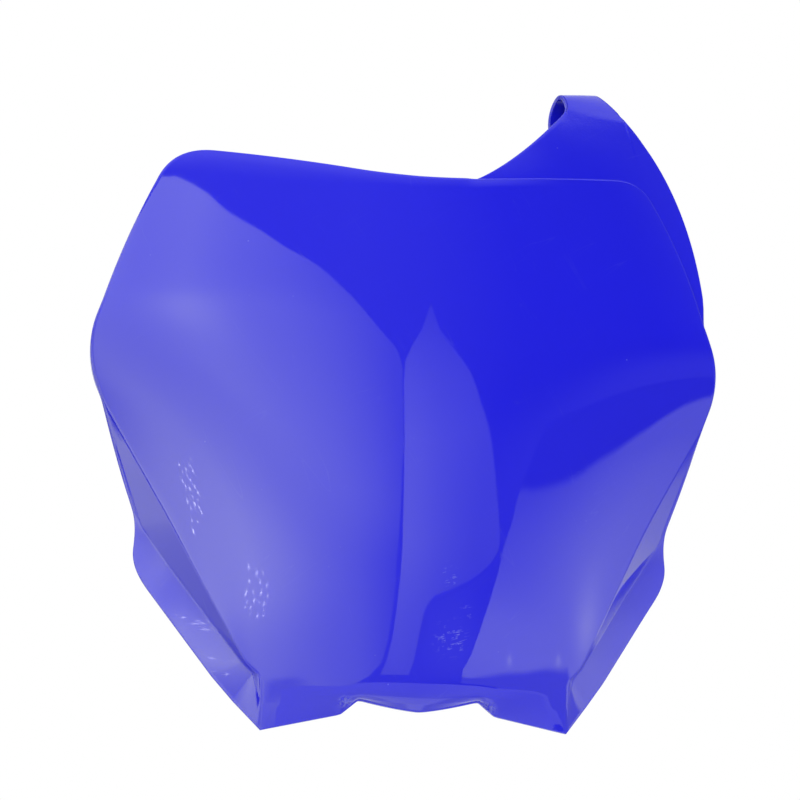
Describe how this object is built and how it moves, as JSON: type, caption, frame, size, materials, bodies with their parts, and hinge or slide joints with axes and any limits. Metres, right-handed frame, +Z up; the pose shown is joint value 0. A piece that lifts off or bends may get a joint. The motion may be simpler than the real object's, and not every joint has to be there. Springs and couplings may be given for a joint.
{
  "type": "racing number board",
  "caption": "Bowed front number board with flared lower sides, feet under the chin and an offset fin whose rolled top guides a hose.",
  "frame": {"origin": "centre of the bolt hole in the upper shelf on the back, half way through the shelf", "axes": "+X to the right of someone facing the board's front, +Y to the back, towards the bike, +Z up along the board's middle line and along the bolt hole"},
  "size_m": [0.2556, 0.0474, 0.2845],
  "materials": {
    "blue_plastic": "glossy moulded, lightly scuffed"
  },
  "bodies": {
    "root": {"number_board": "blue_plastic"}
  },
  "joints": []
}
